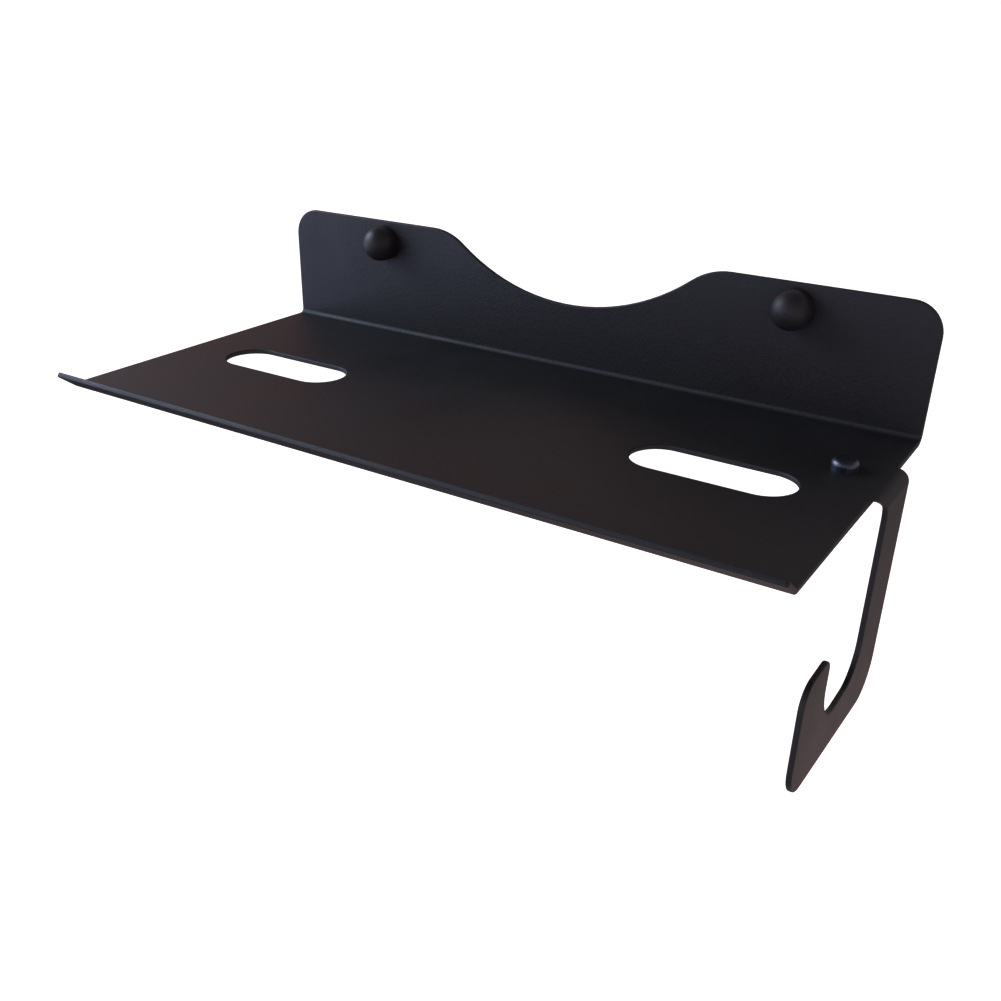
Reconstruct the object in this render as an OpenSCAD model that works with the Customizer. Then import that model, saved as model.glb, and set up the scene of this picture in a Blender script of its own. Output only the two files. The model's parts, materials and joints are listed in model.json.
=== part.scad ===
// Wall shelf of a salon styling station: one folded sheet with a front lip, tool slots and a side hook,
// its two wall screws under snap-on dome caps, and a bolt with its washer and nut at the top of the hook.
// +X is to the right, +Y goes into the wall, +Z is up. The origin is on the back plate's rear face.

/* [Shelf] */
// Overall width of the deck and the back plate
shelf_w = 300; // [290:1:340]
// Depth of the flat deck, from the back plate's front face to the start of the lip bend
deck_d = 133.4; // [130:0.1:150]
// Thickness of the coated sheet
sheet_t = 2; // [1.6:0.1:2.2]
// Inside radius of the bends at the back plate and at the lip
bend_r = 2; // [1.5:0.1:3]
// Height of the origin above the deck's top face
origin_h = 13; // [12:1:14]

/* [Back plate] */
// Height of the back plate above the deck's top face
back_h = 50; // [48:0.5:56]
// Radius of the two top corners
corner_r = 12; // [6:1:14]
// Radius of the hollow in the top edge
scallop_r = 90; // [86:1:96]
// Depth of the hollow below the top edge
scallop_d = 23.4; // [22:0.1:25]
// Radius of the shoulders on both sides of the hollow
shoulder_r = 26; // [16:1:28]

/* [Front lip] */
// Rise of the lip above the horizontal, in degrees
lip_angle = 37; // [25:1:45]
// Length of the flat of the lip
lip_len = 9.8; // [7:0.1:12]
// Radius of the lip's end corners
lip_corner_r = 1.2; // [0.8:0.1:5]

/* [Tool slots] */
// Distance of each slot's centre from the middle of the shelf
slot_x = 97.5; // [90:0.5:100]
// Distance of the slots' centreline from the back plate's front face
slot_y = 69.3; // [60:0.1:75]
// End-to-end length of a slot
slot_len = 60.4; // [50:0.1:64]
// Width of a slot
slot_w = 23; // [18:0.5:25]

/* [Side hook] */
// Distance the hook stands out from the deck's right edge, which is also its bend's outside radius
hook_out = 4.5; // [3.8:0.1:5]
// Distance of the shank's rear edge from the back plate's front face
hook_rear_y = 30.8; // [28:0.1:36]
// Width of the shank
shank_w = 25; // [20:0.5:28]
// Distance of the nose's front edge from the back plate's front face
hook_front_y = 121.8; // [118:0.1:124]
// Width of the nose
nose_w = 24.3; // [18:0.1:26]
// Depth of the nose's top below the deck's top face
nose_top = 39.8; // [30:0.1:42]
// Depth of the throat's floor below the deck's top face
throat_floor = 69.3; // [62:0.1:72]
// Depth of the underside below the deck's top face, where it would meet the shank's rear edge
hook_drop = 89.4; // [86:0.1:96]
// Rise of the underside towards the nose, in degrees
sole_angle = 4.3; // [0:0.1:5]
// Radius of the heel below the shank
heel_r = 14; // [8:1:16]
// Radius of the toe below the nose
toe_r = 13; // [5:0.5:14]
// Radius of the nose's front top corner
nose_front_r = 8; // [4:0.5:10]
// Radius of the nose's rear top corner
nose_rear_r = 5; // [2:0.5:8]
// Radius of the throat's front corner
throat_front_r = 18; // [6:1:20]
// Radius of the throat's rear corner
throat_rear_r = 13; // [6:1:16]
// Radius of the web between the deck's edge and the shank
web_r = 10; // [6:1:14]

/* [Wall fixings] */
// Distance of each wall screw from the middle of the shelf
screw_x = 96.5; // [90:0.5:105]
// Height of the wall screws above the deck's top face
screw_h = 40.5; // [32:0.5:42]
// Radius of a wall screw's plain shank
screw_r = 2; // [1.5:0.1:2.2]
// Outside radius of a dome cap
cap_r = 7.5; // [7.5:0.1:9]
// Height of a dome cap's straight skirt
cap_skirt = 4; // [1:0.1:6]

/* [Deck bolt] */
// Distance of the deck bolt from the middle of the shelf
bolt_x = 135; // [120:0.5:138]
// Distance of the deck bolt from the back plate's front face
bolt_y = 43.3; // [30:0.1:48]
// Radius of its head
head_r = 4.8; // [4.4:0.1:5.4]
// Height of its head
head_h = 4.2; // [3:0.1:4.6]
// Radius of its shank
bolt_r = 2.5; // [2:0.1:2.6]

/* [Hidden] */
$fn = 96;
deck_z = -origin_h;
top_z = deck_z + back_h;
face_y = -sheet_t;
half_w = shelf_w / 2;
bend_out = bend_r + sheet_t;
lip_y = face_y - deck_d;
screw_z = deck_z + screw_h;
hook_x = half_w + hook_out;

// Hollow and shoulders of the back plate, tangent to each other and to the top edge
scallop_z = top_z - scallop_d + scallop_r;
shoulder_z = top_z - shoulder_r;
shoulder_x = sqrt(pow(scallop_r + shoulder_r, 2) - pow(scallop_z - shoulder_z, 2));
meet_x = shoulder_x * scallop_r / (scallop_r + shoulder_r);
meet_z = scallop_z - (scallop_z - shoulder_z) * scallop_r / (scallop_r + shoulder_r);

// Hook outline, seen from the right: horizontal is Y and vertical is Z
rear_y = face_y - hook_rear_y;
shank_y = rear_y - shank_w;
front_y = face_y - hook_front_y;
nose_y = front_y + nose_w;
nose_z = deck_z - nose_top;
floor_z = deck_z - throat_floor;
sole_z = deck_z - hook_drop;
heel_y = rear_y - heel_r;
heel_z = sole_z + (rear_y - heel_y) * tan(sole_angle) + heel_r / cos(sole_angle);
toe_y = front_y + toe_r;
toe_z = sole_z + (rear_y - toe_y) * tan(sole_angle) + toe_r / cos(sole_angle);

// Wall fixings, measured outwards from the wall
base_r = 5.9;
base_t = 2.4;
cap_gap = 0.3;
cap_wall = 1.3;
seat_r = 4;
seat_gap = 0.05;
head_z = sheet_t + base_t;
neck_r = screw_r + 0.4;
neck_len = 0.5;
screw_hole_r = neck_r + 0.25;
plain_len = 14;
thread_pitch = 1.8;
thread_turns = 7;
thread_r = screw_r + 0.2;
core_r = screw_r - 0.5;
tip_len = 5;
drive_len = 4.2;
drive_w = 1;
drive_h = 1.2;

// Deck bolt, washer and nut
head_round = 2.2;
bolt_len = 8.5;
bolt_neck_h = 1.6;
bolt_neck_gap = 0.2;
washer_r = 5;
washer_t = 1;
washer_gap = 0.2;
nut_af = 8;
nut_h = 4;
nut_fit = 0.05;

module along_x(x0, x1) {
  translate([x0, 0, 0])
    rotate([90, 0, 90])
      linear_extrude(height = x1 - x0)
        children();
}

module along_y(y0, y1) {
  translate([0, y1, 0])
    rotate([90, 0, 0])
      linear_extrude(height = y1 - y0)
        children();
}

module along_z(z0, z1) {
  translate([0, 0, z0])
    linear_extrude(height = z1 - z0)
      children();
}

// What is cut off a square corner at the origin, whose sides run to -X and -Y, to round it
module corner(r) {
  difference() {
    translate([-r, -r])
      square([r + 1, r + 1]);
    translate([-r, -r])
      circle(r = r);
    translate([-r - 1, -r - 1])
      square([r + 1, 1]);
  }
}

// What fills an inside corner at the origin, whose sides run to +X and +Y, to round it
module web(r) {
  difference() {
    square([r, r]);
    translate([r, r])
      circle(r = r);
  }
}

// Points of the lip about the centre of its bend: the ends of its flat, and where it would meet the deck
function lip_point(r) = [-r * sin(lip_angle), -r * cos(lip_angle)];
function lip_end(r) = lip_point(r) + lip_len * [-cos(lip_angle), sin(lip_angle)];
function lip_mitre(z) = z * tan(lip_angle / 2);

// Side section of the sheet: back plate, rear bend, deck, lip bend and lip
module sheet_section() {
  translate([face_y, deck_z + bend_r])
    square([sheet_t, back_h - bend_r]);
  translate([face_y - bend_r, deck_z + bend_r])
    intersection() {
      difference() {
        circle(r = bend_out);
        circle(r = bend_r);
      }
      translate([0, -bend_out])
        square([bend_out, bend_out]);
    }
  translate([lip_y, deck_z + bend_r])
    difference() {
      polygon([[deck_d - bend_r, -bend_out], [lip_mitre(-bend_out), -bend_out], lip_end(bend_out),
               lip_end(bend_r), lip_point(bend_r), [0, -bend_r], [deck_d - bend_r, -bend_r]]);
      circle(r = bend_r);
      difference() {
        polygon([[0, 0], [0, -2 * bend_out], [lip_mitre(-2 * bend_out), -2 * bend_out],
                 lip_point(2 * bend_out)]);
        circle(r = bend_out);
      }
    }
}

// Half of the hollow in the back plate's top edge, to the right of the middle
module half_scallop() {
  difference() {
    polygon([[0, meet_z], [0, top_z + 1], [shoulder_x, top_z + 1], [shoulder_x, top_z], [meet_x, meet_z]]);
    translate([shoulder_x, shoulder_z])
      circle(r = shoulder_r);
  }
  intersection() {
    translate([0, scallop_z])
      circle(r = scallop_r);
    translate([0, top_z - scallop_d - 1])
      square([scallop_r, meet_z - top_z + scallop_d + 1]);
  }
}

module slot() {
  square([slot_len - slot_w, slot_w], center = true);
  for (side = [-1, 1])
    translate([side * (slot_len - slot_w) / 2, 0])
      circle(r = slot_w / 2);
}

// A rounded lower corner of the hook: what lies outside the circle between its two tangent points
module low_corner(y, z, r, edge_y) {
  difference() {
    polygon([[y, z], [edge_y, z], [edge_y, z - 2 * r], [y - r * sin(sole_angle), z - 2 * r],
             [y - r * sin(sole_angle), z - r * cos(sole_angle)]]);
    translate([y, z])
      circle(r = r);
  }
}

module hook_outline() {
  difference() {
    union() {
      polygon([[rear_y, deck_z], [shank_y, deck_z], [shank_y, floor_z], [nose_y, floor_z],
               [nose_y, nose_z], [front_y, nose_z],
               [front_y, sole_z + (rear_y - front_y) * tan(sole_angle)], [rear_y, sole_z]]);
      translate([nose_y, floor_z])
        web(throat_front_r);
      translate([shank_y, floor_z])
        mirror([1, 0])
          web(throat_rear_r);
      translate([shank_y, deck_z])
        rotate(180)
          web(web_r);
    }
    translate([nose_y, nose_z])
      corner(nose_rear_r);
    translate([front_y, nose_z])
      mirror([1, 0])
        corner(nose_front_r);
    low_corner(heel_y, heel_z, heel_r, rear_y + 1);
    low_corner(toe_y, toe_z, toe_r, front_y - 1);
  }
}

// The hook's bend at the deck's right edge, then the flat hook below it
module hook() {
  intersection() {
    along_x(half_w, hook_x)
      hook_outline();
    along_y(shank_y - web_r, rear_y)
      translate([half_w, deck_z - hook_out])
        intersection() {
          difference() {
            circle(r = hook_out);
            circle(r = hook_out - sheet_t);
          }
          square([hook_out, hook_out]);
        }
  }
  intersection() {
    along_x(hook_x - sheet_t, hook_x)
      hook_outline();
    along_y(front_y, rear_y)
      translate([hook_x - sheet_t, sole_z])
        square([sheet_t, hook_drop - hook_out]);
  }
}

module folded_shelf() {
  color([0.07, 0.07, 0.075])
    difference() {
      union() {
        along_x(-half_w, half_w)
          sheet_section();
        hook();
      }
      along_y(face_y - 1, 1) {
        half_scallop();
        mirror([1, 0])
          half_scallop();
        translate([half_w, top_z])
          corner(corner_r);
        translate([-half_w, top_z])
          mirror([1, 0])
            corner(corner_r);
        for (side = [-1, 1])
          translate([side * screw_x, screw_z])
            circle(r = screw_hole_r);
      }
      along_z(deck_z - sheet_t - 1, deck_z + 1) {
        for (side = [-1, 1])
          translate([side * slot_x, face_y - slot_y])
            slot();
        translate([bolt_x, face_y - bolt_y])
          square(2 * (bolt_r + bolt_neck_gap), center = true);
      }
      translate([0, lip_y, deck_z + bend_r])
        rotate([-lip_angle, 0, 0])
          along_z(-bend_out - 1, -bend_r + 1) {
            translate([half_w, -lip_len])
              mirror([0, 1])
                corner(lip_corner_r);
            translate([-half_w, -lip_len])
              mirror([1, 0])
                mirror([0, 1])
                  corner(lip_corner_r);
          }
    }
}

// Places a turned wall fixing: its axis points out of the wall, and its zero is the wall
module at_wall(side) {
  translate([side * screw_x, 0, screw_z])
    rotate([90, 0, 0])
      children();
}

// Countersunk screw with a cross recess; the rings of its thread run from the plain shank to the tip
module wall_screw(side) {
  color([0.62, 0.62, 0.64])
    at_wall(side)
      difference() {
        rotate_extrude()
          polygon(concat(
            [[0, head_z], [seat_r - seat_gap, head_z], [neck_r, head_z + neck_r + seat_gap - seat_r],
             [neck_r, -neck_len], [screw_r, -neck_len], [screw_r, -plain_len]],
            [for (i = [0:thread_turns - 1])
              each [[core_r, -plain_len - i * thread_pitch],
                    [thread_r, -plain_len - (i + 0.5) * thread_pitch]]],
            [[core_r, -plain_len - thread_turns * thread_pitch],
             [0, -plain_len - thread_turns * thread_pitch - tip_len]]));
        translate([0, 0, head_z - drive_h])
          linear_extrude(height = drive_h + 1) {
            square([drive_len, drive_w], center = true);
            square([drive_w, drive_len], center = true);
          }
      }
}

module cap_base(side) {
  color([0.08, 0.08, 0.08])
    at_wall(side)
      difference() {
        translate([0, 0, sheet_t])
          cylinder(r = base_r, h = base_t);
        translate([0, 0, sheet_t - 1])
          cylinder(r = screw_hole_r, h = base_t + 2);
        translate([0, 0, head_z + neck_r - seat_r])
          cylinder(r1 = neck_r, r2 = seat_r, h = seat_r - neck_r);
      }
}

module dome_cap(side) {
  color([0.06, 0.06, 0.065])
    at_wall(side)
      translate([0, 0, sheet_t])
        rotate_extrude()
          intersection() {
            difference() {
              union() {
                square([cap_r, cap_skirt]);
                translate([0, cap_skirt])
                  circle(r = cap_r);
              }
              square([cap_r - cap_wall, cap_skirt]);
              translate([0, cap_skirt])
                circle(r = cap_r - cap_wall);
            }
            translate([0, cap_gap])
              square([cap_r, cap_skirt + cap_r]);
          }
}

// Places a piece on the deck bolt's axis, at a depth below the deck's top face
module at_bolt(depth) {
  translate([bolt_x, face_y - bolt_y, deck_z - depth])
    children();
}

// A smooth round head, a square neck that the deck's square hole keeps from turning, and a round shank
module deck_bolt() {
  color([0.2, 0.21, 0.24])
    at_bolt(0) {
      rotate_extrude()
        intersection() {
          union() {
            square([head_r, head_h - head_round]);
            square([head_r - head_round, head_h]);
            translate([head_r - head_round, head_h - head_round])
              circle(r = head_round);
          }
          square([head_r, head_h]);
        }
      translate([-bolt_r, -bolt_r, -bolt_neck_h])
        cube([2 * bolt_r, 2 * bolt_r, bolt_neck_h]);
      translate([0, 0, -bolt_len])
        cylinder(r = bolt_r, h = bolt_len - bolt_neck_h);
    }
}

module deck_washer() {
  color([0.6, 0.6, 0.62])
    at_bolt(sheet_t + washer_t)
      difference() {
        cylinder(r = washer_r, h = washer_t);
        translate([0, 0, -1])
          cylinder(r = bolt_r + washer_gap, h = washer_t + 2);
      }
}

module deck_nut() {
  color([0.55, 0.55, 0.57])
    at_bolt(sheet_t + washer_t + nut_h)
      difference() {
        linear_extrude(height = nut_h)
          polygon([for (i = [0:5]) nut_af / 2 / cos(30) * [cos(60 * i), sin(60 * i)]]);
        translate([0, 0, -1])
          cylinder(r = bolt_r + nut_fit, h = nut_h + 2);
      }
}

folded_shelf();
wall_screw(-1);  // wall_screw_left
wall_screw(1);  // wall_screw_right
cap_base(-1);  // cap_base_left
cap_base(1);  // cap_base_right
dome_cap(-1);  // dome_cap_left
dome_cap(1);  // dome_cap_right
deck_bolt();
deck_washer();
deck_nut();
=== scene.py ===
import json
import math

import bpy
from mathutils import Euler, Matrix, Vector

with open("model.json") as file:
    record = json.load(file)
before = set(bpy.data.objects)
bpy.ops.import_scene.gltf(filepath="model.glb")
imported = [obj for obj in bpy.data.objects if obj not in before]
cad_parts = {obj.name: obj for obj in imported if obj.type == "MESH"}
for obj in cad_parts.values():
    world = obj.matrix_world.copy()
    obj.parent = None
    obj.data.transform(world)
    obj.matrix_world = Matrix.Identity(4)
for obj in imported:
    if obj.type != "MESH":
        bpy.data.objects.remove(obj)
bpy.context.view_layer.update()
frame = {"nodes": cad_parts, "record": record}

MM = 0.001
scene = bpy.context.scene
nodes = frame["nodes"]


# ---------------------------------------------------------------- shader node helpers

# A Mix node has a set of sockets for each type of value. These are the colour ones.
MIX_FIRST, MIX_SECOND, MIX_RESULT = 6, 7, 2


def map_range(tree, source, from_low, from_high, to_low=0.0, to_high=1.0):
    """A node that maps one range of the source to another and clamps the rest."""
    node = tree.nodes.new("ShaderNodeMapRange")
    node.inputs["From Min"].default_value = from_low
    node.inputs["From Max"].default_value = from_high
    node.inputs["To Min"].default_value = to_low
    node.inputs["To Max"].default_value = to_high
    tree.links.new(source, node.inputs["Value"])
    return node


def mix_colors(tree, factor, first, second):
    """A colour between two, which are colours or the outputs of other nodes."""
    node = tree.nodes.new("ShaderNodeMix")
    node.data_type = "RGBA"
    tree.links.new(factor, node.inputs["Factor"])
    for index, color in ((MIX_FIRST, first), (MIX_SECOND, second)):
        if isinstance(color, tuple):
            node.inputs[index].default_value = (*color, 1.0)
        else:
            tree.links.new(color, node.inputs[index])
    return node.outputs[MIX_RESULT]


class Mat:
    """A procedural material: a Principled shader and the nodes that feed it."""

    # Most values of a noise lie between these two.
    NOISE_LOW, NOISE_HIGH = 0.35, 0.65

    def __init__(self, name, color, roughness, **inputs):
        self.mat = bpy.data.materials.new(name)
        self.mat.use_nodes = True
        self.tree = self.mat.node_tree
        self.shader = self.tree.nodes["Principled BSDF"]
        self.set("Base Color", (*color, 1.0))
        self.set("Roughness", roughness)
        for key, value in inputs.items():
            self.set(key.replace("_", " "), value)
        self.position = self.tree.nodes.new("ShaderNodeNewGeometry").outputs["Position"]

    def set(self, name, value):
        """Gives an input of the shader the same value everywhere."""
        self.shader.inputs[name].default_value = value

    def feed(self, name, source):
        """Links the output of a node to an input of the shader."""
        self.tree.links.new(source, self.shader.inputs[name])

    def noise(self, size, detail=2.0, roughness=0.5):
        """A 3D noise whose features are about size metres wide."""
        mapping = self.tree.nodes.new("ShaderNodeMapping")
        mapping.inputs["Scale"].default_value = [1 / size] * 3
        self.tree.links.new(self.position, mapping.inputs["Vector"])
        node = self.tree.nodes.new("ShaderNodeTexNoise")
        node.inputs["Scale"].default_value = 1.0
        node.inputs["Detail"].default_value = detail
        node.inputs["Roughness"].default_value = roughness
        self.tree.links.new(mapping.outputs["Vector"], node.inputs["Vector"])
        return node.outputs["Fac"]

    def spread(self, noise, low=0.0, high=1.0, at_low=NOISE_LOW, at_high=NOISE_HIGH):
        """Maps a noise to the range low to high."""
        return map_range(self.tree, noise, at_low, at_high, low, high).outputs["Result"]

    def blend(self, factor, first, second):
        return mix_colors(self.tree, factor, first, second)

    def bump(self, height, depth, strength=1.0, under=None):
        """Bump from a height of 0 to 1 that stands depth metres proud."""
        node = self.tree.nodes.new("ShaderNodeBump")
        node.inputs["Strength"].default_value = strength
        node.inputs["Distance"].default_value = depth
        self.tree.links.new(height, node.inputs["Height"])
        if under is not None:
            self.tree.links.new(under, node.inputs["Normal"])
        return node.outputs["Normal"]


# ---------------------------------------------------------------- materials

def powder_coat():
    """Fine-textured satin black powder coat on sheet steel."""
    m = Mat("black_powder_coat", (0.012, 0.0117, 0.013), 0.6, IOR=1.5, Specular_IOR_Level=0.8)
    cloud = m.noise(38 * MM, detail=3.0, roughness=0.6)
    speck = m.noise(0.9 * MM, detail=0.0)
    pebble = m.noise(1.6 * MM)
    grain = m.noise(0.55 * MM)

    dark, light = (0.0105, 0.0102, 0.0114), (0.0135, 0.0132, 0.0146)
    tone = m.blend(m.spread(cloud), dark, light)
    few_specks = m.spread(speck, at_low=0.66, at_high=0.8)
    speck_color = (0.018, 0.018, 0.019)
    m.feed("Base Color", m.blend(few_specks, tone, speck_color))
    m.feed("Roughness", m.spread(cloud, low=0.57, high=0.64))

    pebbled = m.bump(pebble, depth=0.08 * MM)
    m.feed("Normal", m.bump(grain, depth=0.03 * MM, strength=0.8, under=pebbled))
    return m.mat


def clouded(name, color, roughness, cloud, colors, roughnesses, grain, depth, strength, **inputs):
    """A material with a fine grain, whose colour and roughness vary in soft clouds.

    cloud and grain are noises, as (size, detail). colors and roughnesses are (low, high).
    """
    m = Mat(name, color, roughness, **inputs)
    cloud = m.noise(*cloud)
    m.feed("Base Color", m.blend(m.spread(cloud), *colors))
    m.feed("Roughness", m.spread(cloud, *roughnesses))
    m.feed("Normal", m.bump(m.noise(*grain), depth, strength))
    return m.mat


def cap_plastic():
    """Satin moulded plastic."""
    return clouded(
        "cap_plastic", (0.032, 0.030, 0.032), 0.5, IOR=1.49,
        cloud=(6 * MM, 2.0), colors=((0.029, 0.027, 0.029), (0.035, 0.033, 0.035)),
        roughnesses=(0.46, 0.54), grain=(0.35 * MM, 2.0), depth=0.01 * MM, strength=0.6)


def dark_steel():
    """Satin dark nickel plate."""
    return clouded(
        "dark_steel", (0.13, 0.145, 0.17), 0.42, Metallic=1.0,
        cloud=(3 * MM, 2.0), colors=((0.11, 0.125, 0.15), (0.15, 0.165, 0.19)),
        roughnesses=(0.38, 0.46), grain=(0.5 * MM, 3.0), depth=0.008 * MM, strength=0.6)


def zinc_steel():
    """Bright zinc plate, lightly hazed."""
    return clouded(
        "zinc_steel", (0.55, 0.55, 0.57), 0.32, Metallic=1.0,
        cloud=(2.5 * MM, 3.0), colors=((0.47, 0.48, 0.5), (0.62, 0.61, 0.6)),
        roughnesses=(0.26, 0.42), grain=(0.4 * MM, 3.0), depth=0.01 * MM, strength=0.7)


materials = {
    "black_powder_coat": powder_coat(),
    "cap_plastic": cap_plastic(),
    "dark_steel": dark_steel(),
    "zinc_steel": zinc_steel(),
}


# ---------------------------------------------------------------- looks of the CAD nodes

WELD_GAP = 0.005 * MM
FLAT_ANGLE = math.radians(0.5)    # faces at less than this to each other become one
SHARP_ANGLE = math.radians(35)    # edges of more than this are rounded
FACE_AREA_WEIGHT = 100            # keeps the large faces flat beside the rounded edges

# Each node's width of edge rounding in mm, and its number of steps. The deck bolt isn't
# here and keeps its edges as they are, because a bevel leaves a spike on it.
EDGES = {
    "folded_shelf": (0.5, 3),
    "dome_cap_left": (0.25, 3),
    "dome_cap_right": (0.25, 3),
    "cap_base_left": (0.25, 3),
    "cap_base_right": (0.25, 3),
    "deck_washer": (0.15, 3),
    "deck_nut": (0.25, 3),
    "wall_screw_left": (0.05, 2),
    "wall_screw_right": (0.05, 2),
}


def soften(obj, width, segments):
    """Rounds the sharp edges a little and shades the rest smooth.

    The CAD meshes come as triangles, and are split along their sharp edges. A bevel needs
    whole faces that share those edges, so a weld and a dissolve come before it.
    """
    for polygon in obj.data.polygons:
        polygon.use_smooth = True
    weld = obj.modifiers.new("weld", "WELD")
    weld.merge_threshold = WELD_GAP
    flat = obj.modifiers.new("flat_faces", "DECIMATE")
    flat.decimate_type = "DISSOLVE"
    flat.angle_limit = FLAT_ANGLE
    bevel = obj.modifiers.new("edge_round", "BEVEL")
    bevel.width = width
    bevel.segments = segments
    bevel.limit_method = "ANGLE"
    bevel.angle_limit = SHARP_ANGLE
    bevel.use_clamp_overlap = False
    bevel.loop_slide = False
    normals = obj.modifiers.new("normals", "WEIGHTED_NORMAL")
    normals.weight = FACE_AREA_WEIGHT


slots = {p["node"]: p["material_slot"] for p in frame["record"]["subparts"]}
for name, obj in nodes.items():
    obj.data.materials.clear()
    obj.data.materials.append(materials[slots[name]])

for name, (width, segments) in EDGES.items():
    soften(nodes[name], width * MM, segments)


# ---------------------------------------------------------------- floor, light and camera

FLOOR_SIZE = 800.0       # wide enough to fill the view
HANGING_HEIGHT = 1.0     # from the floor to the shelf
FLOOR_GLOW = 0.78        # brings the floor up to the photograph's white

# The colours of the surroundings, from below to overhead, as reflections see them. A pair is
# the colour on the left and the one on the right.
FRONT_BELOW = (0.22, 0.2, 0.22)
FRONT_LOW = ((2.4, 2.75, 4.1), (1.9, 1.65, 2.0))
FRONT_LEVEL = ((1.5, 1.6, 2.0), (0.65, 0.58, 0.66))
BACK_BELOW = ((0.06, 0.09, 0.12), (1.25, 0.96, 0.94))
BACK_LOW = (0.30, 0.27, 0.27)
BACK_LEVEL = ((0.82, 0.40, 0.29), (0.94, 0.83, 0.84))
OVERHEAD = (0.15, 0.15, 0.15)
BACKGROUND = (1.0, 1.0, 1.0)    # what the camera sees


def floor():
    """A pale floor below the shelf, hidden from reflections."""
    half = FLOOR_SIZE / 2
    corners = [(-half, -half, 0), (half, -half, 0), (half, half, 0), (-half, half, 0)]
    mesh = bpy.data.meshes.new("floor")
    mesh.from_pydata(corners, [], [(0, 1, 2, 3)])
    obj = bpy.data.objects.new("floor", mesh)
    obj.location = (0, 0, -HANGING_HEIGHT)
    scene.collection.objects.link(obj)
    m = Mat("floor", (0.9, 0.9, 0.9), 0.9,
            Emission_Color=(1.0, 1.0, 1.0, 1.0), Emission_Strength=FLOOR_GLOW)
    obj.data.materials.append(m.mat)
    obj.visible_glossy = False


def softbox():
    """A cool rectangular light, above the shelf and to the left of it."""
    place, target = Vector((-0.60, -0.20, 0.35)), Vector((-0.1, -0.08, 0))
    light = bpy.data.lights.new("softbox_left", "AREA")
    light.shape = "RECTANGLE"
    light.size, light.size_y = 0.5, 0.35
    light.energy = 4.2
    light.color = (0.68, 0.82, 1.0)
    obj = bpy.data.objects.new("softbox_left", light)
    obj.location = place
    obj.rotation_euler = (target - place).to_track_quat("-Z", "Y").to_euler()
    scene.collection.objects.link(obj)


def studio_world():
    """Surroundings that are cool and bright in front of the shelf, warmer behind it, and dim
    overhead and far below. The camera sees them as white.
    """
    world = bpy.data.worlds.new("studio")
    world.use_nodes = True
    tree = world.node_tree
    coords = tree.nodes.new("ShaderNodeTexCoord")
    direction = tree.nodes.new("ShaderNodeSeparateXYZ")
    tree.links.new(coords.outputs["Generated"], direction.inputs["Vector"])

    def ramp(axis, start, end):
        """Rises from 0 to 1 as the direction's share along an axis goes from start to end."""
        node = map_range(tree, direction.outputs[axis], start, end)
        node.interpolation_type = "SMOOTHSTEP"
        return node.outputs["Result"]

    def mix(factor, first, second):
        return mix_colors(tree, factor, first, second)

    behind = ramp("Y", -0.4, 0.4)
    right = ramp("X", -0.65, -0.1)
    front_low = mix(ramp("Z", -0.42, -0.22), FRONT_BELOW, mix(right, *FRONT_LOW))
    back_low = mix(ramp("Z", -0.55, -0.3), mix(right, *BACK_BELOW), BACK_LOW)
    low = mix(behind, front_low, back_low)
    level = mix(behind, mix(right, *FRONT_LEVEL), mix(right, *BACK_LEVEL))
    color = mix(ramp("Z", -0.15, 0.05), low, level)
    color = mix(ramp("Z", 0.45, 0.8), color, OVERHEAD)
    paths = tree.nodes.new("ShaderNodeLightPath")
    color = mix(paths.outputs["Is Camera Ray"], color, BACKGROUND)
    tree.links.new(color, tree.nodes["Background"].inputs["Color"])
    scene.world = world


def camera():
    """The camera that was fitted to the photograph's outline of the shelf."""
    tilt, roll, heading = (math.radians(a) for a in (62.787, -1.014, 32.934))
    data = bpy.data.cameras.new("camera")
    data.sensor_width = 36.0
    data.lens = 38.85
    data.shift_x = 0.002
    data.shift_y = 0.0474
    data.clip_start = 0.01
    obj = bpy.data.objects.new("camera", data)
    obj.location = (0.2190, -0.3972, 0.1300)
    obj.rotation_euler = Euler((tilt, roll, heading), "XYZ")
    scene.collection.objects.link(obj)
    scene.camera = obj


floor()
studio_world()
softbox()
camera()
scene.view_settings.view_transform = "Standard"
scene.view_settings.gamma = 0.75

bpy.context.view_layer.update()
